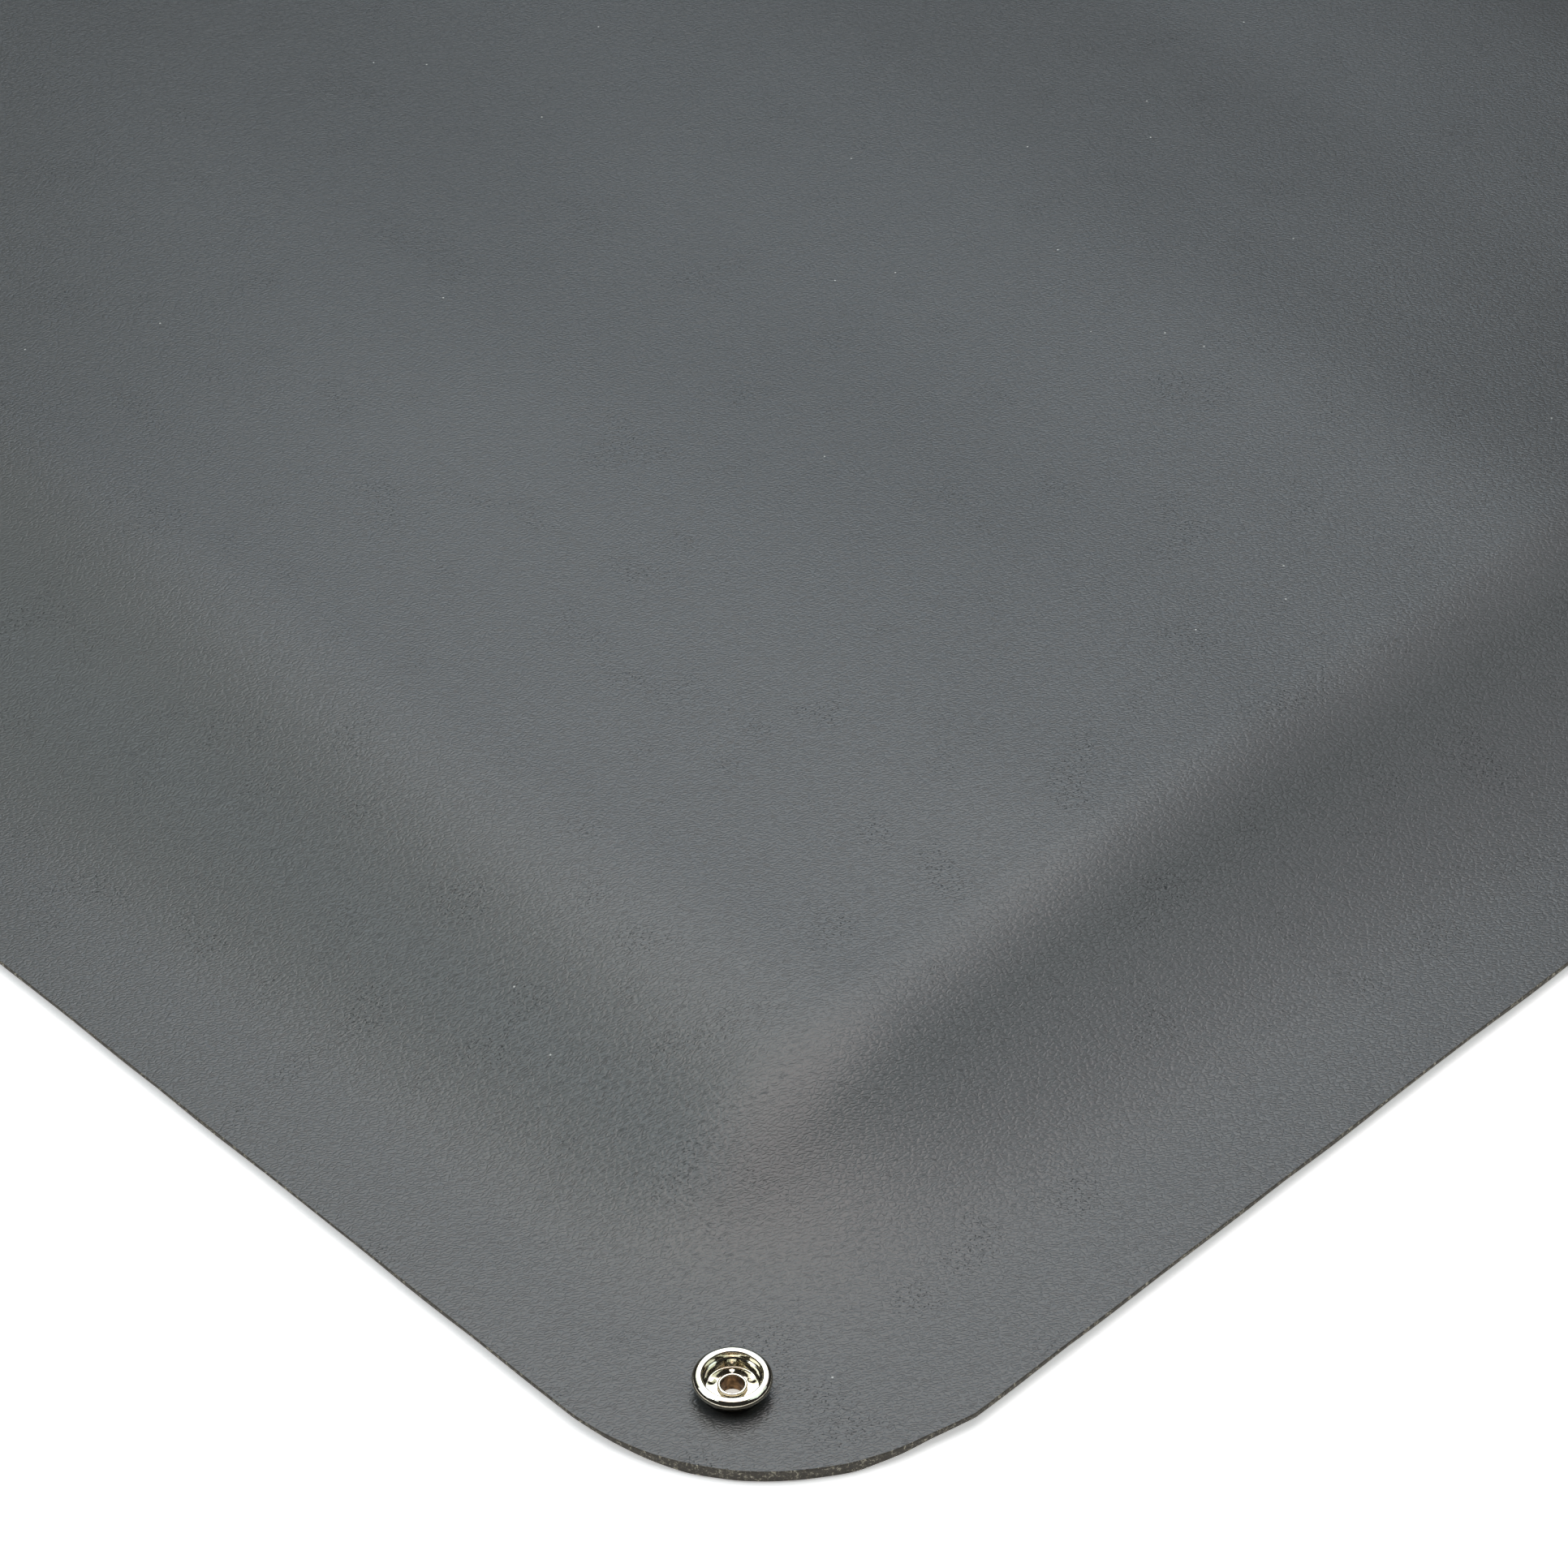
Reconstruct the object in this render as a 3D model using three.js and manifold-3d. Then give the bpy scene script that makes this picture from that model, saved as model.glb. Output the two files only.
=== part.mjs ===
// Anti-static anti-fatigue floor mat: one cushioned vinyl mat with pressed bevels all round, and a
// nickel-plated 10 mm grounding stud held in its flat border, near one corner, by a tubular rivet.
// Millimetres, +Z up. The origin is on the underside, at the middle of the mat. X runs along the
// long sides. The snap is in the corner at +X and -Y.
import * as THREE from 'three';
import { mergeVertices } from 'three/addons/utils/BufferGeometryUtils.js';
import Module from 'manifold-3d';

// Mat, cut to 36 by 24 inches and half an inch thick over its cushioned centre
const matLength = 914.4;
const matWidth = 609.6;
const matThickness = 12.7;
const borderThickness = 1.65;

// Bevel along each side, measured in from the edge: flat border, then the rise up to the steepest
// place, then the crest that rounds over into the flat centre
const longSideBorder = 14;
const longSideRise = 24;
const longSideCrest = 34;
const shortSideBorder = 12;
const shortSideRise = 32;
const shortSideCrest = 14;

// Straight edges are knife-cut on a slant, so the bottom edge lies further in than the top one,
// under a thin upright land
const edgeUndercut = 4.5;
const longSideLand = 0.35;
const shortSideLand = 0.5;

// Round corners are cut upright, through the full border. Each cut is tangent to the long side. Its
// centre lies a little too far in from the short side, where the cut runs out straight at an angle.
const cornerRadius = 35.5;
const cornerCutIn = 0.9;
const runOutDegrees = 13;

// Place of the snap, to its axis
const snapFromLongEdge = 17;
const snapFromShortEdge = 23.8;
const clearance = 0.1;

// Stud of the 10 mm grounding snap, a drawn cup with a beaded rim, measured up from its seat
const studRadius = 5;
const studHeight = 2.6;
const studMetal = 0.35;
const beadHeight = 1.2;
const beadRoundOutside = 0.42;
const beadRoundInside = 0.25;
const mouthRadius = 3.73;
const mouthDepth = 1;
const throatRadius = 3.52;
const throatDepth = 0.75;
const floorRadius = 3.35;
const stepDrop = 0.1;
const neckRadius = 3.9;
const footFlare = 0.2;

// Tubular rivet through the stud's floor and the border, with a rolled collar and a flat head
const rivetBoreRadius = 1.43;
const rivetWall = 0.22;
const collarRadius = 1.87;
const collarHeight = 0.45;
const headRadius = 4;
const headThickness = 0.35;
const headInset = 0.1;

// How finely the curves are faceted
const bevelSteps = 4;
const cornerSteps = 16;
const turnSegments = 48;
const roundSteps = 4;
const cutterReach = 20;

const rivetRadius = rivetBoreRadius + rivetWall;
const snapX = matLength / 2 - snapFromShortEdge;
const snapY = -matWidth / 2 + snapFromLongEdge;
const seatLevel = borderThickness + clearance;

const wasm = await Module();
wasm.setup();

// A closed geometry as a solid, for cutting and joining
function solidOf(geometry) {
  const bare = geometry.clone();
  bare.deleteAttribute('normal');
  bare.deleteAttribute('uv');
  const merged = mergeVertices(bare, 1e-4);
  return new wasm.Manifold(
    new wasm.Mesh({
      numProp: 3,
      vertProperties: new Float32Array(merged.attributes.position.array),
      triVerts: new Uint32Array(merged.index.array),
    }),
  );
}

// A solid back as a geometry
function geometryOf(solid) {
  const mesh = solid.getMesh();
  const geometry = new THREE.BufferGeometry();
  geometry.setAttribute('position', new THREE.BufferAttribute(mesh.vertProperties, 3));
  geometry.setIndex(new THREE.BufferAttribute(mesh.triVerts, 1));
  geometry.computeVertexNormals();
  return geometry;
}

// Distances from the edge at which the surface gets a line of vertices
function bevelStations(border, rise, crest) {
  const stations = [0, border];
  for (let i = 1; i <= bevelSteps; i += 1) stations.push(border + (rise * i) / bevelSteps);
  for (let i = 1; i <= bevelSteps; i += 1) stations.push(border + rise + (crest * i) / bevelSteps);
  return stations;
}

// Share of the full rise reached at a distance in from the edge. The slope grows evenly over the
// rise and dies away evenly over the crest, so the height is two parabolas that meet smoothly.
function bevelShare(distance, border, rise, crest) {
  const reach = rise + crest;
  const along = THREE.MathUtils.clamp(distance - border, 0, reach);
  if (along <= rise) return (along * along) / (rise * reach);
  return 1 - (reach - along) ** 2 / (crest * reach);
}

// Lines across a side of the given length, from one edge to the other
function linesAcross(size, stations) {
  const nearEdge = stations.map((station) => station - size / 2);
  const farEdge = stations.map((station) => size / 2 - station).reverse();
  return [...nearEdge, ...farEdge];
}

// The pressed blank: a box whose top follows the bevels. Where two bevels meet in a corner their
// shares multiply, which leaves the soft hip and the flat corner of a heat-pressed mat.
function pressedBlank() {
  const xLines = linesAcross(matLength, bevelStations(shortSideBorder, shortSideRise, shortSideCrest));
  const yLines = linesAcross(matWidth, bevelStations(longSideBorder, longSideRise, longSideCrest));
  const xCount = xLines.length - 1;
  const yCount = yLines.length - 1;
  const geometry = new THREE.BoxGeometry(xCount, yCount, 1, xCount, yCount, 1);
  const position = geometry.attributes.position;
  for (let i = 0; i < position.count; i += 1) {
    const x = xLines[Math.round(position.getX(i) + xCount / 2)];
    const y = yLines[Math.round(position.getY(i) + yCount / 2)];
    const xShare = bevelShare(matLength / 2 - Math.abs(x), shortSideBorder, shortSideRise, shortSideCrest);
    const yShare = bevelShare(matWidth / 2 - Math.abs(y), longSideBorder, longSideRise, longSideCrest);
    const top = borderThickness + (matThickness - borderThickness) * xShare * yShare;
    position.setXYZ(i, x, y, position.getZ(i) > 0 ? top : 0);
  }
  return solidOf(geometry);
}

// Section across the mat that slants its two straight edges under the land, as a long bar
function edgeCut(width, land, barLength) {
  const landLevel = borderThickness - land;
  const section = new THREE.Shape();
  section.moveTo(-width / 2 + edgeUndercut, 0);
  section.lineTo(width / 2 - edgeUndercut, 0);
  section.lineTo(width / 2, landLevel);
  section.lineTo(width / 2, matThickness + cutterReach);
  section.lineTo(-width / 2, matThickness + cutterReach);
  section.lineTo(-width / 2, landLevel);
  section.closePath();
  const bar = new THREE.ExtrudeGeometry(section, { depth: barLength, bevelEnabled: false });
  bar.translate(0, 0, -barLength / 2);
  bar.rotateX(Math.PI / 2);
  return bar;
}

// Upright cutter for the outline with its round corners
function cornerCut() {
  const x = matLength / 2;
  const y = matWidth / 2;
  const centreX = x - cornerRadius - cornerCutIn;
  const centreY = y - cornerRadius;
  const runOut = THREE.MathUtils.degToRad(runOutDegrees);
  const runOutWidth = x - centreX - cornerRadius * Math.cos(runOut);
  const runOutY = centreY + cornerRadius * Math.sin(runOut) - runOutWidth / Math.tan(runOut);
  const outline = new THREE.Shape();
  outline.absarc(centreX, -centreY, cornerRadius, -Math.PI / 2, -runOut, false);
  outline.lineTo(x, -runOutY);
  outline.lineTo(x, runOutY);
  outline.absarc(centreX, centreY, cornerRadius, runOut, Math.PI / 2, false);
  outline.absarc(-centreX, centreY, cornerRadius, Math.PI / 2, Math.PI - runOut, false);
  outline.lineTo(-x, runOutY);
  outline.lineTo(-x, -runOutY);
  outline.absarc(-centreX, -centreY, cornerRadius, Math.PI + runOut, 1.5 * Math.PI, false);
  outline.closePath();
  const slab = new THREE.ExtrudeGeometry(outline, {
    depth: matThickness + 2 * cutterReach,
    bevelEnabled: false,
    curveSegments: cornerSteps,
  });
  slab.translate(0, 0, -cutterReach);
  return solidOf(slab);
}

// Upright cylinder for the rivet's hole, and for the recess that takes its head
function snapDrill(radius, fromLevel, toLevel) {
  const drill = new THREE.CylinderGeometry(radius, radius, toLevel - fromLevel, turnSegments);
  drill.rotateX(Math.PI / 2);
  drill.translate(snapX, snapY, (fromLevel + toLevel) / 2);
  return solidOf(drill);
}

function matGeometry() {
  const longEdges = edgeCut(matWidth, longSideLand, matLength + 2 * cutterReach);
  longEdges.rotateZ(Math.PI / 2);
  const shortEdges = edgeCut(matLength, shortSideLand, matWidth + 2 * cutterReach);
  const recessTop = headInset + headThickness + clearance;
  const seatTop = matThickness + cutterReach;
  const solid = pressedBlank()
    .intersect(solidOf(longEdges))
    .intersect(solidOf(shortEdges))
    .intersect(cornerCut())
    .subtract(snapDrill(rivetRadius + clearance, -cutterReach, seatTop))
    .subtract(snapDrill(headRadius + clearance, -cutterReach, recessTop))
    .subtract(snapDrill(studRadius + clearance, borderThickness, seatTop));
  return geometryOf(solid);
}

// Points of a quarter or other part turn in a turned profile, angles in degrees
function turn(centreRadius, centreLevel, radius, fromDegrees, toDegrees) {
  const points = [];
  for (let i = 0; i <= roundSteps; i += 1) {
    const angle = THREE.MathUtils.degToRad(fromDegrees + ((toDegrees - fromDegrees) * i) / roundSteps);
    points.push([centreRadius + radius * Math.cos(angle), centreLevel + radius * Math.sin(angle)]);
  }
  return points;
}

// A closed profile of [radius, level] points turned about the Z axis
function turned(profile) {
  const points = [...profile, profile[0]].map(([radius, level]) => new THREE.Vector2(radius, level));
  const geometry = new THREE.LatheGeometry(points, turnSegments);
  geometry.rotateX(Math.PI / 2);
  return geometry;
}

function studGeometry() {
  const boreRadius = rivetRadius + clearance;
  const beadFoot = studHeight - beadHeight;
  const beadUnder = studRadius - neckRadius;
  const throatLevel = studHeight - mouthDepth;
  const ledgeLevel = throatLevel - throatDepth;
  const outside = [
    [boreRadius, 0],
    [neckRadius + footFlare, 0],
    [neckRadius, footFlare],
    [neckRadius, beadFoot - beadUnder / 4],
    ...turn(neckRadius + beadUnder / 2, beadFoot + beadUnder / 4, beadUnder / 2, -90, 0),
  ];
  const rim = [
    ...turn(studRadius - beadRoundOutside, studHeight - beadRoundOutside, beadRoundOutside, 0, 90),
    ...turn(mouthRadius + beadRoundInside, studHeight - beadRoundInside, beadRoundInside, 90, 180),
  ];
  const inside = [
    [mouthRadius, throatLevel],
    [throatRadius, throatLevel - stepDrop],
    [throatRadius, ledgeLevel],
    [floorRadius, ledgeLevel - stepDrop],
    [floorRadius, studMetal],
    [boreRadius, studMetal],
  ];
  return turned([...outside, ...rim, ...inside]);
}

function rivetGeometry() {
  const headTop = headInset + headThickness;
  const collarFoot = seatLevel + studMetal + clearance;
  const collarRound = (collarRadius - rivetBoreRadius) / 2;
  const collarMiddle = rivetBoreRadius + collarRound;
  const collarShoulder = collarFoot + collarHeight - collarRound;
  return turned([
    [rivetBoreRadius, headInset],
    [headRadius - headThickness / 2, headInset],
    [headRadius, headInset + headThickness / 2],
    [headRadius, headTop],
    [rivetRadius, headTop],
    [rivetRadius, collarFoot],
    [collarRadius, collarFoot],
    ...turn(collarMiddle, collarShoulder, collarRound, 0, 180),
  ]);
}

const greyVinyl = new THREE.MeshStandardMaterial({ color: 0x6c6e6f, roughness: 0.5, metalness: 0 });
const nickelPlate = new THREE.MeshStandardMaterial({ color: 0xd9d3c6, roughness: 0.15, metalness: 1 });

function named(name, geometry, material) {
  const mesh = new THREE.Mesh(geometry, material);
  mesh.name = name;
  return mesh;
}

const mat = named('cushion_mat', matGeometry(), greyVinyl);

const stud = named('snap_stud', studGeometry(), nickelPlate);
stud.position.z = seatLevel;
const rivet = named('snap_rivet', rivetGeometry(), nickelPlate);
const groundingSnap = new THREE.Group();
groundingSnap.position.set(snapX, snapY, 0);
groundingSnap.add(stud, rivet);

const floorMat = new THREE.Group();
floorMat.add(mat, groundingSnap);

export default floorMat;
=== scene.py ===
# Grey anti-static floor mat with a grounding snap: its looks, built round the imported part.
import math

import bpy
import bmesh
import mathutils
import numpy as np
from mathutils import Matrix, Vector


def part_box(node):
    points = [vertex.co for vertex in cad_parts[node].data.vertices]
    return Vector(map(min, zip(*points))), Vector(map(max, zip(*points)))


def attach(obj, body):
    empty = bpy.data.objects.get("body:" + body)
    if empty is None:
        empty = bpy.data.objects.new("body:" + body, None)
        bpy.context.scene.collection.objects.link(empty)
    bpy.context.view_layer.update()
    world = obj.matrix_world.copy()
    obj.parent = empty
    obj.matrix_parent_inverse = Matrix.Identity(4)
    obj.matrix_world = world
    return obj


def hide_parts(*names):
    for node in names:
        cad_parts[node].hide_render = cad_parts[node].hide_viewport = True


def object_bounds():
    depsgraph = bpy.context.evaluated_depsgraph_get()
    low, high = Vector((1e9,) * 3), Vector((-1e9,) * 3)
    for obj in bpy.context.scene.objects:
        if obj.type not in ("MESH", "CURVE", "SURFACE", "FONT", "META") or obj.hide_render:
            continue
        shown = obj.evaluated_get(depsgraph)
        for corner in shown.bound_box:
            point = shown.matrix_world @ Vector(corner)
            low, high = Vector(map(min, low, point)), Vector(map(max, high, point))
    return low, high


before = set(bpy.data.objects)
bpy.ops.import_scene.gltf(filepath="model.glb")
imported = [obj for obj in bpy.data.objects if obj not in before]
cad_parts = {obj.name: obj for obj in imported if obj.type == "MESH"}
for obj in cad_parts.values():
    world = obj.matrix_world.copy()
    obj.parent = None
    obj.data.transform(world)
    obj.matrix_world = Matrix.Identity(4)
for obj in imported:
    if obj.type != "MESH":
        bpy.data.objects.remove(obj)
cadLow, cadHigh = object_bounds()
print("frame loaded")

mm = 0.001


# One sRGB channel to linear: a straight line near black, and a 2.4 power above it
def linearChannel(value):
    return value / 12.92 if value <= 0.04045 else ((value + 0.055) / 1.055) ** 2.4


# An sRGB hex colour as linear red, green, blue and alpha
def hexColour(text):
    channels = [int(text[i:i + 2], 16) / 255 for i in (1, 3, 5)]
    return (*[linearChannel(channel) for channel in channels], 1.0)


# Adds one node. Keyword settings go on the node, values in inputs go on its sockets, and a socket
# of another node there is linked instead.
def addNode(tree, kind, inputs=None, **settings):
    made = tree.nodes.new(kind)
    for name, value in settings.items():
        setattr(made, name, value)
    for socket, value in (inputs or {}).items():
        if isinstance(value, bpy.types.NodeSocket):
            tree.links.new(value, made.inputs[socket])
        else:
            made.inputs[socket].default_value = value
    return made


# A new material with only its output and a Principled shader, ready for its pattern
def newMaterial(name, **shaderValues):
    material = bpy.data.materials.new(name)
    material.use_nodes = True
    tree = material.node_tree
    tree.nodes.clear()
    shader = addNode(tree, "ShaderNodeBsdfPrincipled", shaderValues)
    addNode(tree, "ShaderNodeOutputMaterial", {"Surface": shader.outputs["BSDF"]})
    return material, tree, shader


# The stops of a colour ramp: places and sRGB hex colours
def setRamp(ramp, stops):
    elements = ramp.color_ramp.elements
    while len(elements) < len(stops):
        elements.new(1.0)
    for element, (place, colour) in zip(elements, stops):
        element.position = place
        element.color = hexColour(colour)


# Smooth shading with sharp edges past an angle
def smoothPiece(mesh, sharpAngle=35):
    mesh.shade_smooth()
    mesh.set_sharp_from_angle(angle=math.radians(sharpAngle))


# A mesh object from points and faces, with a material for each face and sharp edges past an angle
def meshPiece(name, points, faces, materials, faceMaterials=None, sharpAngle=35):
    mesh = bpy.data.meshes.new(name)
    mesh.from_pydata(points.tolist(), [], faces.tolist())
    for material in materials:
        mesh.materials.append(material)
    if faceMaterials is not None:
        mesh.polygons.foreach_set("material_index", faceMaterials.astype(np.int32))
    mesh.validate()
    smoothPiece(mesh, sharpAngle)
    piece = bpy.data.objects.new(name, mesh)
    bpy.context.scene.collection.objects.link(piece)
    return piece


# Faces of a grid of rows by columns of points, whose columns close on themselves. Rows that close
# too make a ring, such as a turned profile that ends where it starts.
def gridFaces(rows, columns, closeRows=False):
    row = np.arange(rows if closeRows else rows - 1)[:, None]
    column = np.arange(columns)[None, :]
    nextRow = (row + 1) % rows
    nextColumn = (column + 1) % columns
    corners = [row * columns + column, nextRow * columns + column,
               nextRow * columns + nextColumn, row * columns + nextColumn]
    return np.stack(corners, axis=-1).reshape(-1, 4)


# The mat

matSettings = {
    "cornerRadius": 35.5 * mm,
    "cornerCutIn": 0.9 * mm,          # how far the round cut's centre is too far in from the short side
    "runOut": math.radians(13),       # angle at which the round cut runs out through the short side
    "border": 1.65 * mm,              # thickness at the flat border
    "longBevel": (14 * mm, 24 * mm, 34 * mm),   # border, rise and crest along the long sides
    "shortBevel": (12 * mm, 32 * mm, 14 * mm),  # the same along the short sides
    "longLand": 0.35 * mm,            # upright part of the cut along the long sides
    "shortLand": 0.5 * mm,
    "undercut": 4.5 * mm,             # how far further in the underside ends than the top
    "arris": 0.12 * mm,               # how far the top edge of the cut is worn round
    # Soft waves over the cushioned middle: direction in X and Y, length, height and phase in radians
    "waves": [(0.04, 1.0, 96 * mm, 0.33 * mm, 6.07), (0.1, 1.0, 34 * mm, 0.04 * mm, 4.58),
              (-0.3, 1.0, 58 * mm, 0.07 * mm, 4.1), (1.0, 0.5, 163 * mm, 0.15 * mm, 2.6)],
    "landWander": 0.3 * mm,           # how far the upright part of the cut grows over its least height
    # Its waves along the outline: share, length in millimetres to a radian, and phase in radians
    "landWaves": [(0.6, 11.0, 0.0), (0.4, 4.7, 1.0)],
    "cutWobble": 0.06 * mm,           # how far the knife strayed
    # Radius, bottom and top of the recess for the rivet's head and of the hole for its tube
    "snapDrill": [(4.1 * mm, -1 * mm, 0.55 * mm), (1.75 * mm, -1 * mm, 3 * mm)],
    "longSamples": 190,
    "shortSamples": 130,
    "cornerSamples": 60,
    "bevelRows": 52,
    "middleRows": 16,
    "bevelStart": 4 * mm,             # how far past the bevel's inner end its first row lies
    "bevelEnd": 1 * mm,               # inset of its last row
    "underRow": 20 * mm,              # inset of a row of the underside past the slanted edge
    "cutShares": (0, 0.35, 0.7, 1),   # rows of the cut, as shares of the way down it
    "trimFade": 3,                    # how fast the corner's trim fades inward, to each corner radius
    "wobbleReach": 2 * mm,            # how far in the knife's wobble is felt
    "weldReach": 0.001 * mm,
    "drillSegments": 96,
    "seed": 11,
}


# Share of the full rise at a distance in from the edge: level over the border, a parabola up to
# the steepest place, and a second parabola that rounds over into the level middle
def bevelShare(distance, bevel):
    border, rise, crest = bevel
    reach = rise + crest
    along = np.clip(distance - border, 0, reach)
    lower = along**2 / (rise * reach)
    upper = 1 - (reach - along)**2 / (crest * reach)
    return np.where(along <= rise, lower, upper)


# Soft waves of the middle, whose crests run mostly along the long sides: a sum of sines
def softWaves(x, y, waves):
    height = np.zeros_like(x)
    for alongX, alongY, length, rise, phase in waves:
        height += rise * np.sin((alongX * x + alongY * y) * math.tau / length + phase)
    return height


# How the upright part of the cut changes along the outline, from -1 to 1: a sum of sines of X plus Y
def landWaves(x, y, waves):
    way = (x + y) / mm
    height = np.zeros_like(way)
    for share, length, phase in waves:
        height += share * np.sin(way / length + phase)
    return height


# Points once round the mat, from the start of the front long side: each is a share of the way to the
# corner's centre in X and Y, and the direction from there to the outline
def outlineSamples(settings):
    samples = []
    sides = [((-1, -1), (1, -1), -90), ((1, -1), (1, 1), 0), ((1, 1), (-1, 1), 90), ((-1, 1), (-1, -1), 180)]
    for start, end, facing in sides:
        count = settings["longSamples"] if start[1] == end[1] else settings["shortSamples"]
        share = np.arange(count) / count
        centres = np.outer(1 - share, start) + np.outer(share, end)
        samples.append((centres, np.full(count, math.radians(facing))))
        turn = np.arange(settings["cornerSamples"]) / settings["cornerSamples"]
        samples.append((np.tile(np.array(end, float), (len(turn), 1)), np.radians(facing + 90 * turn)))
    centres = np.concatenate([centre for centre, angle in samples])
    angles = np.concatenate([angle for centre, angle in samples])
    return centres, np.stack([np.cos(angles), np.sin(angles)], axis=-1)


# A ring at each inset from the outline: a rounded rectangle smaller by the inset, whose corner
# radius shrinks evenly and is nothing at the middle of the mat
def matRings(insets, settings, halfLength, halfWidth):
    centres, directions = outlineSamples(settings)
    radius = settings["cornerRadius"] * (1 - insets / halfWidth)
    x = np.outer(halfLength - insets - radius, centres[:, 0]) + np.outer(radius, directions[:, 0])
    y = np.outer(halfWidth - insets - radius, centres[:, 1]) + np.outer(radius, directions[:, 1])
    return x, y


# How far out in X the round cuts leave the mat at a distance in Y from its middle: the circle of
# the cut, then its straight run-out to the short side
def cornerLimit(y, settings, halfLength, halfWidth):
    radius = settings["cornerRadius"]
    runOut = settings["runOut"]
    centreX = halfLength - radius - settings["cornerCutIn"]
    centreY = halfWidth - radius
    circle = centreX + np.sqrt(np.maximum(radius**2 - np.maximum(y - centreY, 0)**2, 0))
    arcEnd = centreY + radius * math.sin(runOut)
    straight = centreX + radius * math.cos(runOut) + (arcEnd - y) * math.tan(runOut)
    return np.minimum(np.where(y > arcEnd, circle, straight), halfLength)


# Joins the points that meet along the middle of the top and of the underside, so the shell is closed
def weld(piece, reach):
    shell = bmesh.new()
    shell.from_mesh(piece.data)
    bmesh.ops.remove_doubles(shell, verts=shell.verts, dist=reach)
    shell.to_mesh(piece.data)
    shell.free()


# Cuts a round hole on the snap's axis, between two levels
def cutRound(piece, radius, bottom, top, segments):
    low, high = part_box("snap_stud")
    cylinder = bmesh.new()
    bmesh.ops.create_cone(cylinder, cap_ends=True, segments=segments, radius1=radius, radius2=radius,
                          depth=top - bottom)
    bmesh.ops.translate(cylinder, verts=cylinder.verts,
                        vec=((low.x + high.x) / 2, (low.y + high.y) / 2, (top + bottom) / 2))
    mesh = bpy.data.meshes.new("drill")
    cylinder.to_mesh(mesh)
    cylinder.free()
    drill = bpy.data.objects.new("drill", mesh)
    bpy.context.scene.collection.objects.link(drill)
    cut = piece.modifiers.new("drill", "BOOLEAN")
    cut.operation = "DIFFERENCE"
    cut.object = drill
    made = bpy.data.meshes.new_from_object(piece.evaluated_get(bpy.context.evaluated_depsgraph_get()))
    piece.modifiers.clear()
    piece.data = made
    bpy.data.objects.remove(drill)


# The mat's shell, from the middle of the top out to the edge, down the cut and back to the middle
# of the underside. Top: the border plus the two bevel shares multiplied, plus the soft waves.
# Underside: level, but raised on a slant towards the straight edges.
def makeMat(settings, materials):
    low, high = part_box("cushion_mat")
    halfLength, halfWidth, thickness = high.x, high.y, high.z
    border = settings["border"]
    arris = settings["arris"]
    reach = max(sum(settings["longBevel"]), sum(settings["shortBevel"]))
    middle = np.linspace(halfWidth, reach + 2 * settings["bevelStart"], settings["middleRows"])
    bevel = np.linspace(reach + settings["bevelStart"], settings["bevelEnd"], settings["bevelRows"])
    topInsets = np.concatenate([middle, bevel, [3 * arris, arris]])
    topRows = len(topInsets)
    cutShare = np.array(settings["cutShares"])[:, None]
    cutInsets = np.zeros(len(cutShare))
    underInsets = np.concatenate([np.linspace(0.25, 1.25, 5) * settings["undercut"],
                                  [settings["underRow"], halfWidth]])
    insets = np.concatenate([topInsets, cutInsets, underInsets])
    x, y = matRings(insets, settings, halfLength, halfWidth)
    limit = cornerLimit(np.abs(y[topRows]), settings, halfLength, halfWidth)
    trimmed = np.minimum(limit - np.abs(x[topRows]), 0)
    fade = np.exp(-insets / settings["cornerRadius"] * settings["trimFade"])[:, None]
    x += np.sign(x) * trimmed * fade
    fromLong = halfWidth - np.abs(y)
    fromShort = halfLength - np.abs(x)
    share = bevelShare(fromLong, settings["longBevel"]) * bevelShare(fromShort, settings["shortBevel"])
    top = border + (thickness - border) * share + softWaves(x, y, settings["waves"]) * share**2
    slant = 1 / settings["undercut"]
    wander = settings["landWander"] * landWaves(x[topRows], y[topRows], settings["landWaves"])
    longLand = settings["longLand"] + np.abs(wander)
    shortLand = settings["shortLand"] + np.abs(wander)
    bottom = np.maximum((border - longLand) * (1 - fromLong * slant),
                        (border - shortLand) * (1 - fromShort * slant))
    bottom = np.maximum(bottom, 0)
    z = bottom
    z[:topRows] = top[:topRows]
    cut = slice(topRows, topRows + len(cutInsets))
    z[cut] = (1 - cutShare) * (border - arris) + cutShare * bottom[cut]
    draw = np.random.default_rng(settings["seed"])
    wobble = draw.normal(size=x.shape[1])
    smoothing = np.array([1, 2, 3, 2, 1]) / 9
    wobble = np.convolve(np.concatenate([wobble[-2:], wobble, wobble[:2]]), smoothing, "valid")
    strayed = settings["cutWobble"] * (wobble - wobble.max())
    nearEdge = np.exp(-insets / settings["wobbleReach"])[:, None] * strayed[None, :]
    points = np.stack([x, y, z], axis=-1)
    outward = np.stack([np.sign(x) * (fromShort < fromLong), np.sign(y) * (fromLong <= fromShort)], axis=-1)
    points[..., :2] += outward * nearEdge[..., None]
    faces = gridFaces(*x.shape)
    rows = np.repeat(np.arange(x.shape[0] - 1), x.shape[1])
    faceMaterials = np.where(rows < topRows - 1, 0, np.where(rows < topRows + len(cutInsets) - 1, 1, 2))
    mat = meshPiece("floor_mat", points.reshape(-1, 3), faces, materials, faceMaterials)
    weld(mat, settings["weldReach"])
    for radius, drillBottom, drillTop in settings["snapDrill"]:
        cutRound(mat, radius, drillBottom, drillTop, settings["drillSegments"])
    smoothPiece(mat.data)
    return mat


# The materials of the mat

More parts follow.
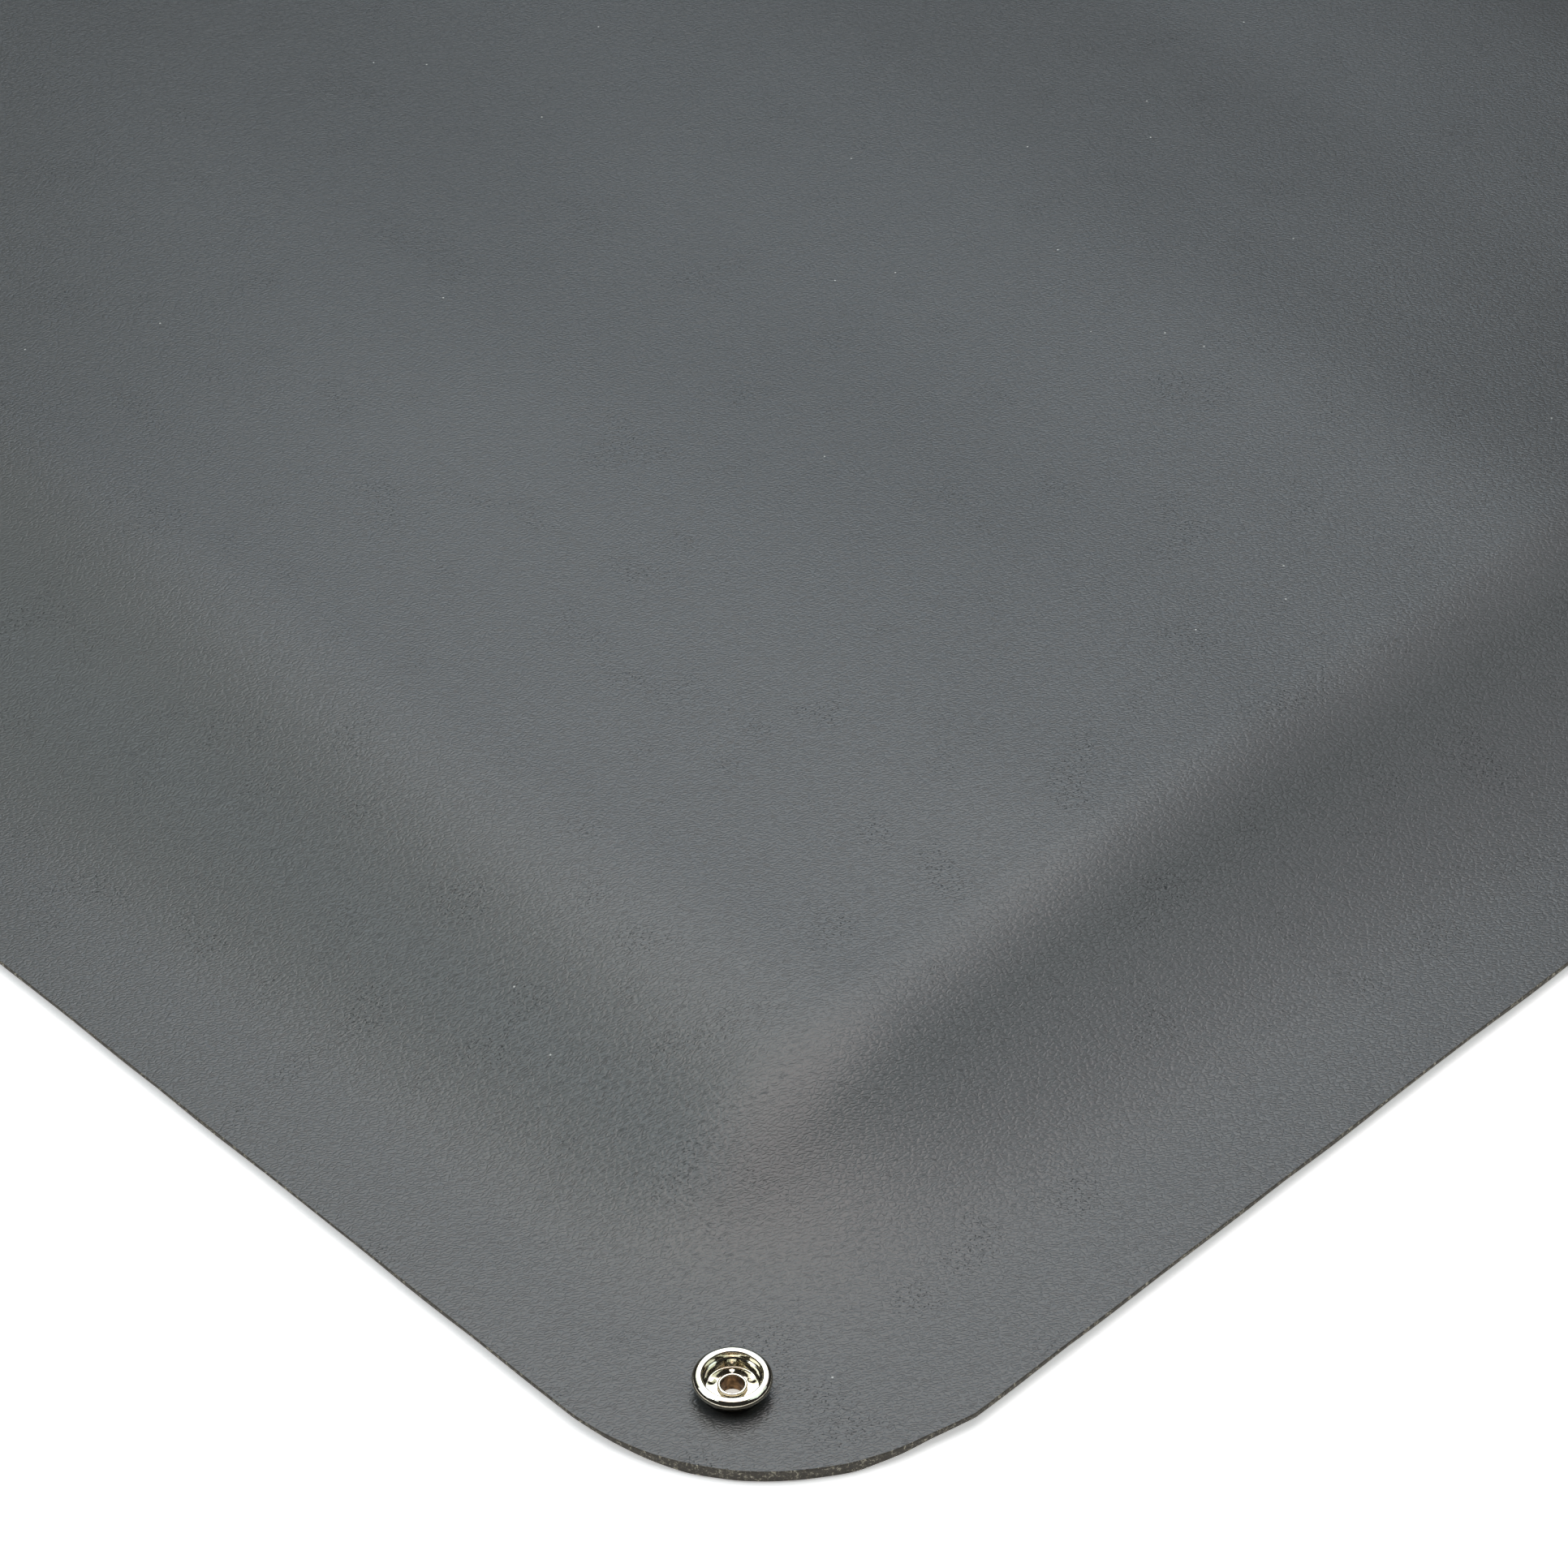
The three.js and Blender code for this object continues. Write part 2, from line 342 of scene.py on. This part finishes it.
vinylLook = {
    "colour": "#393938",
    "paleColour": "#414140",
    "roughness": 0.3,
    "wrinkleWidth": 0.43,      # mm from crease to crease, across the wrinkles
    "wrinkleStretch": 2.4,     # how much longer than wide they are
    "wrinkleTurn": 28,         # degrees that they are turned from +Y towards +X
    "wrinkleDepth": 0.025,     # mm
    "driftScale": 1.1,         # the scales count repeats to a millimetre
    "driftAmount": 0.9,        # mm
    "crumpleScale": 1.4,       # repeats to a wrinkle
    "crumpleShare": 1.3,       # height of the crumple beside that of the wrinkles
    "pitDepth": 2.5,           # in wrinkle depths
    "cloudScale": 0.02,
    "speckPatchScale": 0.03,
    "paleSpeckAbove": 0.56,    # noise level above which a speck is pale
    "pitSpacing": 0.9,         # mm, where the pits stand closest
    "pitRadius": 0.09,         # mm
    "pitCluster": 12,          # mm, across a cluster of pits
    "speckSpacing": 24,        # mm
    "speckRadius": 0.15,       # mm
    # painted shade: the near-black colour of the pits stands for the shade inside them
    "pitShadeColour": "#0f1011",
    "speckColours": ("#0b0b0c", "#a9a9a4"),
}


# Object coordinates in millimetres, for patterns whose scales are real sizes
def millimetres(tree):
    place = addNode(tree, "ShaderNodeTexCoord")
    return addNode(tree, "ShaderNodeVectorMath", {0: place.outputs["Object"], "Scale": 1 / mm},
                   operation="SCALE")


# Round spots of one radius, one to each cell of a scattered pattern, 1 inside and 0 outside; the
# spacing and radius are in millimetres
def spots(tree, place, spacing, radius):
    scatter = addNode(tree, "ShaderNodeTexVoronoi", {"Vector": place, "Scale": 1 / spacing},
                      voronoi_dimensions="2D")
    return addNode(tree, "ShaderNodeMapRange", {
        "Value": scatter.outputs["Distance"], "From Min": 0.6 * radius / spacing,
        "From Max": 1.2 * radius / spacing, "To Min": 1.0, "To Max": 0.0,
    })


# Static-dissipative soft vinyl, calendered and pressed against a grained roll: a satin skin of fine
# leather wrinkles, a little longer than wide, with a few pits and specks. The pits are dents whose
# near-black colour is painted shade in them. The wrinkles are the cells between narrow creases,
# drifting to and fro, with a finer crumple over them.
def pressedVinyl(look):
    material, tree, shader = newMaterial("grained soft vinyl", IOR=1.53)
    place = millimetres(tree).outputs["Vector"]
    drift = addNode(tree, "ShaderNodeTexNoise", {"Vector": place, "Scale": look["driftScale"],
                                                 "Detail": 2.0})
    driftAmount = addNode(tree, "ShaderNodeVectorMath", {
        0: drift.outputs["Color"], "Scale": look["driftAmount"],
    }, operation="SCALE")
    drifted = addNode(tree, "ShaderNodeVectorMath", {0: place, 1: driftAmount.outputs["Vector"]})
    turned = addNode(tree, "ShaderNodeMapping", {
        "Vector": drifted.outputs["Vector"],
        "Rotation": (0, 0, -math.radians(look["wrinkleTurn"])),
        "Scale": (look["wrinkleWidth"], look["wrinkleWidth"] * look["wrinkleStretch"], 1.0),
    }, vector_type="TEXTURE")
    cells = addNode(tree, "ShaderNodeTexVoronoi", {"Vector": turned.outputs["Vector"], "Scale": 1.0},
                    feature="DISTANCE_TO_EDGE", voronoi_dimensions="2D")
    crease = addNode(tree, "ShaderNodeMapRange", {"Value": cells.outputs["Distance"], "From Max": 0.3},
                     interpolation_type="SMOOTHSTEP")
    crumple = addNode(tree, "ShaderNodeTexNoise", {
        "Vector": turned.outputs["Vector"], "Scale": look["crumpleScale"], "Detail": 3.0, "Roughness": 0.6,
    })
    grain = addNode(tree, "ShaderNodeMath", {0: crumple.outputs["Fac"], 1: look["crumpleShare"],
                                             2: crease.outputs["Result"]}, operation="MULTIPLY_ADD")
    pit = spots(tree, drifted.outputs["Vector"], look["pitSpacing"], look["pitRadius"])
    cluster = addNode(tree, "ShaderNodeTexNoise", {"Vector": place, "Scale": 1 / look["pitCluster"],
                                                   "Detail": 1.0})
    clustered = addNode(tree, "ShaderNodeMapRange", {"Value": cluster.outputs["Fac"], "From Min": 0.57,
                                                     "From Max": 0.7})
    pitted = addNode(tree, "ShaderNodeMath", {0: pit.outputs["Result"], 1: clustered.outputs["Result"]},
                     operation="MULTIPLY")
    height = addNode(tree, "ShaderNodeMath", {0: pitted.outputs["Value"], 1: -look["pitDepth"],
                                              2: grain.outputs["Value"]}, operation="MULTIPLY_ADD")
    bump = addNode(tree, "ShaderNodeBump", {"Height": height.outputs["Value"], "Strength": 1.0,
                                            "Distance": look["wrinkleDepth"] * mm})
    tree.links.new(bump.outputs["Normal"], shader.inputs["Normal"])
    cloud = addNode(tree, "ShaderNodeTexNoise", {"Vector": place, "Scale": look["cloudScale"],
                                                 "Detail": 3.0})
    colour = addNode(tree, "ShaderNodeMix", {"Factor": cloud.outputs["Fac"], "A": hexColour(look["colour"]),
                                             "B": hexColour(look["paleColour"])}, data_type="RGBA")
    # Painted shade: the pits are coloured near black for the shade in their hollows
    pitShaded = addNode(tree, "ShaderNodeMix", {"Factor": pitted.outputs["Value"], "A": colour.outputs["Result"],
                                            "B": hexColour(look["pitShadeColour"])}, data_type="RGBA")
    speck = spots(tree, place, look["speckSpacing"], look["speckRadius"])
    dice = addNode(tree, "ShaderNodeTexNoise", {"Vector": place, "Scale": look["speckPatchScale"]})
    pale = addNode(tree, "ShaderNodeMath", {0: dice.outputs["Fac"], 1: look["paleSpeckAbove"]},
                   operation="GREATER_THAN")
    dark, light = [hexColour(text) for text in look["speckColours"]]
    speckColour = addNode(tree, "ShaderNodeMix", {"Factor": pale.outputs["Value"], "A": dark, "B": light},
                          data_type="RGBA")
    specked = addNode(tree, "ShaderNodeMix", {
        "Factor": speck.outputs["Result"], "A": pitShaded.outputs["Result"], "B": speckColour.outputs["Result"],
    }, data_type="RGBA")
    tree.links.new(specked.outputs["Result"], shader.inputs["Base Color"])
    shader.inputs["Roughness"].default_value = look["roughness"]
    return material


cutLook = {
    "roughness": 0.75,
    "crumbScale": 1.9,       # repeats to a millimetre
    "crumbDepth": 0.15,      # mm
    "stops": [(0.42, "#3a352d"), (0.55, "#4a443b"), (0.6, "#8a8473"), (0.72, "#c9c3b0")],
}


# The same vinyl where the knife went through it: dull, darker and browner, with pale crumbs
def cutVinyl(look):
    material, tree, shader = newMaterial("knife-cut vinyl", Roughness=look["roughness"])
    place = millimetres(tree).outputs["Vector"]
    crumbs = addNode(tree, "ShaderNodeTexNoise", {"Vector": place, "Scale": look["crumbScale"], "Detail": 5.0,
                                                  "Roughness": 0.72, "Distortion": 0.8})
    ramp = addNode(tree, "ShaderNodeValToRGB", {"Fac": crumbs.outputs["Fac"]})
    setRamp(ramp, look["stops"])
    tree.links.new(ramp.outputs["Color"], shader.inputs["Base Color"])
    bump = addNode(tree, "ShaderNodeBump", {"Height": crumbs.outputs["Fac"],
                                            "Distance": look["crumbDepth"] * mm})
    tree.links.new(bump.outputs["Normal"], shader.inputs["Normal"])
    return material


undersideLook = {
    "roughness": 0.7,
    "colours": ("#3a3b3c", "#454647"),
    "cloudScale": 0.05,      # repeats to a millimetre
    "toothScale": 1.2,
    "toothDepth": 0.03,      # mm
}


# The underside: the same vinyl off the flat bed of the press, matt and nearly even
def undersideVinyl(look):
    material, tree, shader = newMaterial("matt vinyl backing", Roughness=look["roughness"])
    place = millimetres(tree).outputs["Vector"]
    cloud = addNode(tree, "ShaderNodeTexNoise", {"Vector": place, "Scale": look["cloudScale"],
                                                 "Detail": 5.0})
    dark, pale = [hexColour(text) for text in look["colours"]]
    colour = addNode(tree, "ShaderNodeMix", {"Factor": cloud.outputs["Fac"], "A": dark, "B": pale},
                     data_type="RGBA")
    tree.links.new(colour.outputs["Result"], shader.inputs["Base Color"])
    tooth = addNode(tree, "ShaderNodeTexNoise", {"Vector": place, "Scale": look["toothScale"],
                                                 "Detail": 2.0})
    bump = addNode(tree, "ShaderNodeBump", {"Height": tooth.outputs["Fac"],
                                            "Distance": look["toothDepth"] * mm})
    tree.links.new(bump.outputs["Normal"], shader.inputs["Normal"])
    return material


mat = makeMat(matSettings, [pressedVinyl(vinylLook), cutVinyl(cutLook), undersideVinyl(undersideLook)])
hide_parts("cushion_mat")
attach(mat, "root")
print("mat made,", len(mat.data.polygons), "faces")


# The snap

# Lengths of the stud and the rivet are in millimetres
studSettings = {
    "segments": 160,
    "height": 2.6,
    "hole": 1.75,            # radius of the hole that the rivet goes through
    "floorLevel": 0.35,      # top of the cup's floor, one thickness of the metal up
    "floorRows": 14,
    "dentedRows": 16,        # the floor's rows and the last two of the bend before it
    # Small dents that the setting tool left in the cup's floor: radius, angle in degrees from +X, width
    # and depth
    "dents": [(2.45, 137, 0.3, 0.22), (2.75, 205, 0.4, 0.16), (2.75, 72, 0.4, 0.16), (2.6, 262, 0.35, 0.1)],
}


# Points of an arc in a turned profile, in millimetres of radius and level, angles in degrees
def arc(centreRadius, centreLevel, radius, start, end, steps=8):
    angle = np.radians(np.linspace(start, end, steps + 1))
    return np.stack([centreRadius + radius * np.cos(angle), centreLevel + radius * np.sin(angle)], axis=-1)


# A closed profile of radius and level turned once round an upright axis
def turnedPiece(name, profile, axis, level, segments, materials, rowMaterials=None, dents=(), dentedFrom=0):
    angle = np.arange(segments) * math.tau / segments
    x = profile[:, 0][:, None] * np.cos(angle)
    y = profile[:, 0][:, None] * np.sin(angle)
    z = np.repeat(profile[:, 1][:, None], segments, axis=1)
    for radius, turn, width, depth in dents:
        away = np.hypot(x - radius * math.cos(math.radians(turn)), y - radius * math.sin(math.radians(turn)))
        z[dentedFrom:] -= (depth * np.exp(-(away / width)**2))[dentedFrom:]
    points = np.stack([axis[0] + x * mm, axis[1] + y * mm, level + z * mm], axis=-1).reshape(-1, 3)
    faces = gridFaces(len(profile), segments, closeRows=True)
    faceMaterials = None if rowMaterials is None else np.repeat(rowMaterials, segments)
    return meshPiece(name, points, faces[:, ::-1], materials, faceMaterials, sharpAngle=50)


nickelLook = {
    "colours": ("#cdc2ab", "#e3dccd"),
    "roughness": 0.09,
    "toneScale": 0.6,        # repeats to a millimetre
    "rippleScale": 1.5,
    "rippleDepth": 0.02,     # mm
}


# Bright nickel plate over drawn brass: mirror-like, a little warm, with faint waves from the die
def nickelPlate(look):
    material, tree, shader = newMaterial("bright nickel plate", Metallic=1.0)
    place = millimetres(tree).outputs["Vector"]
    tone = addNode(tree, "ShaderNodeTexNoise", {"Vector": place, "Scale": look["toneScale"],
                                                "Detail": 3.0})
    dull, bright = [hexColour(text) for text in look["colours"]]
    colour = addNode(tree, "ShaderNodeMix", {"Factor": tone.outputs["Fac"], "A": dull, "B": bright},
                     data_type="RGBA")
    tree.links.new(colour.outputs["Result"], shader.inputs["Base Color"])
    shader.inputs["Roughness"].default_value = look["roughness"]
    ripples = addNode(tree, "ShaderNodeTexNoise", {"Vector": place, "Scale": look["rippleScale"],
                                                   "Detail": 2.0})
    bump = addNode(tree, "ShaderNodeBump", {"Height": ripples.outputs["Fac"],
                                            "Distance": look["rippleDepth"] * mm})
    tree.links.new(bump.outputs["Normal"], shader.inputs["Normal"])
    return material


brassLook = {
    "stops": [(0.35, "#3b2c1d"), (0.65, "#8a6c4c")],
    "roughness": 0.4,
    "stainScale": 1.2,       # repeats to a millimetre
}


# The bare brass inside the rivet's tube, never plated and tarnished dull brown
def tarnishedBrass(look):
    material, tree, shader = newMaterial("tarnished brass", Metallic=1.0, Roughness=look["roughness"])
    place = millimetres(tree).outputs["Vector"]
    stain = addNode(tree, "ShaderNodeTexNoise", {"Vector": place, "Scale": look["stainScale"],
                                                 "Detail": 4.0})
    ramp = addNode(tree, "ShaderNodeValToRGB", {"Fac": stain.outputs["Fac"]})
    setRamp(ramp, look["stops"])
    tree.links.new(ramp.outputs["Color"], shader.inputs["Base Color"])
    return material


nickel = nickelPlate(nickelLook)
brass = tarnishedBrass(brassLook)


# The drawn cup: arcs and straights from the hole out under the foot, up the neck and round the bead,
# over the rim, and down the inside in two steps to the floor and the hole again
def studProfile(settings):
    height = settings["height"]
    floorRadii = np.linspace(3.1, settings["hole"], settings["floorRows"])
    foot = [[(settings["hole"], 0.0)], arc(3.8, 0.15, 0.15, -90, 0, 4)]
    neckAndBead = [arc(4.15, 0.95, 0.25, 180, 90, 5), arc(4.28, 1.88, 0.72, -78, 66, 20)]
    rim = [[(4.5, height), (4.3, height), (4.1, height)], arc(3.98, height - 0.25, 0.25, 90, 180, 8)]
    wall = [[(3.73, 1.95)], arc(3.63, 1.7, 0.1, 0, -60, 4), [(3.52, 1.5)], [(3.52, 1.1)]]
    step = [arc(3.45, 0.92, 0.1, 60, 0, 4), arc(3.2, 0.5, 0.15, 0, -90, 5)]
    floor = [[(radius, settings["floorLevel"]) for radius in floorRadii]]
    parts = foot + neckAndBead + rim + wall + step + floor
    return np.concatenate([np.array(part, float) for part in parts])


rivetSettings = {
    "inset": 0.1,            # how far the head's face lies up from the floor
    "headCentre": 3.82,      # radius at which the head's rounded edge is centred
    "headBend": 0.175,       # radius of that edge, half the thickness of the head
    "tube": 1.65,            # outer radius of the tube, and the middle of the collar
    "collarBend": 0.22,      # radius of the rolled collar
}


# The rivet, straights and arcs: its bore, the half round of its flat head under the mat, its tube,
# and the rolled collar at its top
def rivetProfile(settings, top):
    inset = settings["inset"]
    headBend = settings["headBend"]
    tube = settings["tube"]
    collarBend = settings["collarBend"]
    return np.concatenate([
        np.array([(tube - collarBend, inset)]),
        arc(settings["headCentre"], inset + headBend, headBend, -90, 90, 8),
        np.array([(tube, inset + 2 * headBend), (tube, top - 2 * collarBend)]),
        arc(tube, top - collarBend, collarBend, -60, 180, 16),
    ])


# The rivet's faces row by row: plated all over, but for the last row, the wall of its bore
def rivetMaterials(profile):
    return (np.arange(len(profile)) == len(profile) - 1).astype(int)


studLow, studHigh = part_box("snap_stud")
snapAxis = ((studLow.x + studHigh.x) / 2, (studLow.y + studHigh.y) / 2)
cup = studProfile(studSettings)
stud = turnedPiece("ground_stud", cup, snapAxis, studLow.z, studSettings["segments"], [nickel],
                   dents=studSettings["dents"], dentedFrom=len(cup) - studSettings["dentedRows"])
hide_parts("snap_stud")
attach(stud, "root")

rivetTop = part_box("snap_rivet")[1].z / mm
tube = rivetProfile(rivetSettings, rivetTop)
rivet = turnedPiece("tubular_rivet", tube, snapAxis, 0.0, studSettings["segments"], [nickel, brass],
                    rivetMaterials(tube))
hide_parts("snap_rivet")
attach(rivet, "root")
print("snap made")


# The floor, the light and the camera

stageSettings = {
    "floorSize": 30.0,
    "floorDrop": 0.3 * mm,
    "floorColour": "#f4f3f1",
    "floorGlow": 0.5,           # a light table, which keeps the shadow round the mat pale
    "roomColour": "#ffffff",
    "roomStrength": 0.03,
    "litInset": 0.08,           # how far in from both straight edges the lights are aimed
}

# Each light comes from an azimuth, in degrees round from -Y to +X, and a height. They stand round the
# sides and behind the mat and over it, none in front, so that the snap's near side stays dark.
farBox = {"distance": 2.4, "size": 1.4}
nearBox = {"distance": 0.8, "size": 0.5}
softLights = [
    {**farBox, "name": "softbox left", "azimuth": 315, "height": 55,
     "power": 19.5, "colour": "#e8f6ff"},
    {**farBox, "name": "softbox back left", "azimuth": 270, "height": 55,
     "power": 9.2, "colour": "#f0fffb"},
    {**nearBox, "name": "softbox behind", "azimuth": 225, "height": 45,
     "power": 1.39, "colour": "#d6ecff"},
    {**nearBox, "name": "softbox over the back", "azimuth": 225, "height": 60,
     "power": 1.6, "colour": "#fff8ed"},
    {**farBox, "name": "softbox back right", "azimuth": 180, "height": 55,
     "power": 8.2, "colour": "#f4f4ff"},
    {**farBox, "name": "softbox right", "azimuth": 135, "height": 55,
     "power": 9.7, "colour": "#e8fdff"},
    {**nearBox, "name": "softbox overhead", "azimuth": 225, "height": 88,
     "power": 2.65, "colour": "#fff7f8"},
]


# A level floor just under the mat, and a dim even room round it
def makeStage(settings):
    half = settings["floorSize"] / 2
    corners = np.array([(-half, -half, 0), (half, -half, 0), (half, half, 0), (-half, half, 0)], float)
    corners[:, 2] = -settings["floorDrop"]
    material, tree, shader = newMaterial("pale painted floor", Roughness=0.9)
    shader.inputs["Base Color"].default_value = hexColour(settings["floorColour"])
    shader.inputs["Emission Color"].default_value = hexColour(settings["floorColour"])
    shader.inputs["Emission Strength"].default_value = settings["floorGlow"]
    floor = meshPiece("floor", corners, np.array([[0, 1, 2, 3]]), [material])
    world = bpy.data.worlds.new("studio")
    world.use_nodes = True
    background = world.node_tree.nodes["Background"]
    background.inputs["Color"].default_value = hexColour(settings["roomColour"])
    background.inputs["Strength"].default_value = settings["roomStrength"]
    bpy.context.scene.world = world


# A square soft light, turned to face the snap's corner
def makeLight(settings, target):
    a, h = math.radians(settings["azimuth"]), math.radians(settings["height"])
    away = np.array([math.sin(a) * math.cos(h), -math.cos(a) * math.cos(h), math.sin(h)])
    data = bpy.data.lights.new(settings["name"], "AREA")
    data.shape = "SQUARE"
    data.size = settings["size"]
    data.energy = settings["power"]
    data.color = hexColour(settings["colour"])[:3]
    light = bpy.data.objects.new(settings["name"], data)
    light.location = target + away * settings["distance"]
    light.rotation_euler = mathutils.Vector(away).to_track_quat("Z", "Y").to_euler()
    bpy.context.scene.collection.objects.link(light)


cameraSettings = {
    "azimuth": 45.506,       # degrees round from -Y towards +X
    "pitch": 40.65,          # degrees down
    "lens": 109.425,         # mm
    "cornerRight": -1.79 * mm,   # where the corner of the mat's two straight edges lies from the camera
    "cornerDown": 93.56 * mm,
    "cornerAhead": 564.4 * mm,
    "edgeLevel": 1.2 * mm,       # how high the seen edge lies over the floor
    "sensor": 36,                # mm
    "clipStart": 0.01,
}


# The camera stands back from the mat's corner along its own right, up and forward directions
def makeCamera(settings):
    a, p = math.radians(settings["azimuth"]), math.radians(settings["pitch"])
    right = np.array([math.cos(a), math.sin(a), 0])
    ahead = np.array([-math.sin(a) * math.cos(p), math.cos(a) * math.cos(p), -math.sin(p)])
    up = np.cross(right, ahead)
    low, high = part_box("cushion_mat")
    corner = np.array([high.x, low.y, settings["edgeLevel"]])
    place = (corner - settings["cornerRight"] * right + settings["cornerDown"] * up
             - settings["cornerAhead"] * ahead)
    data = bpy.data.cameras.new("camera")
    data.lens = settings["lens"]
    data.sensor_width = settings["sensor"]
    data.clip_start = settings["clipStart"]
    camera = bpy.data.objects.new("camera", data)
    camera.location = place
    camera.rotation_euler = mathutils.Matrix(np.stack([right, up, -ahead], axis=1).tolist()).to_euler()
    bpy.context.scene.collection.objects.link(camera)
    bpy.context.scene.camera = camera


makeStage(stageSettings)
litInset = stageSettings["litInset"]
lit = np.array([cadHigh.x - litInset, cadLow.y + litInset, 0])
for light in softLights:
    makeLight(light, lit)
makeCamera(cameraSettings)
bpy.context.scene.view_settings.view_transform = "Standard"
print("stage, lights and camera made")
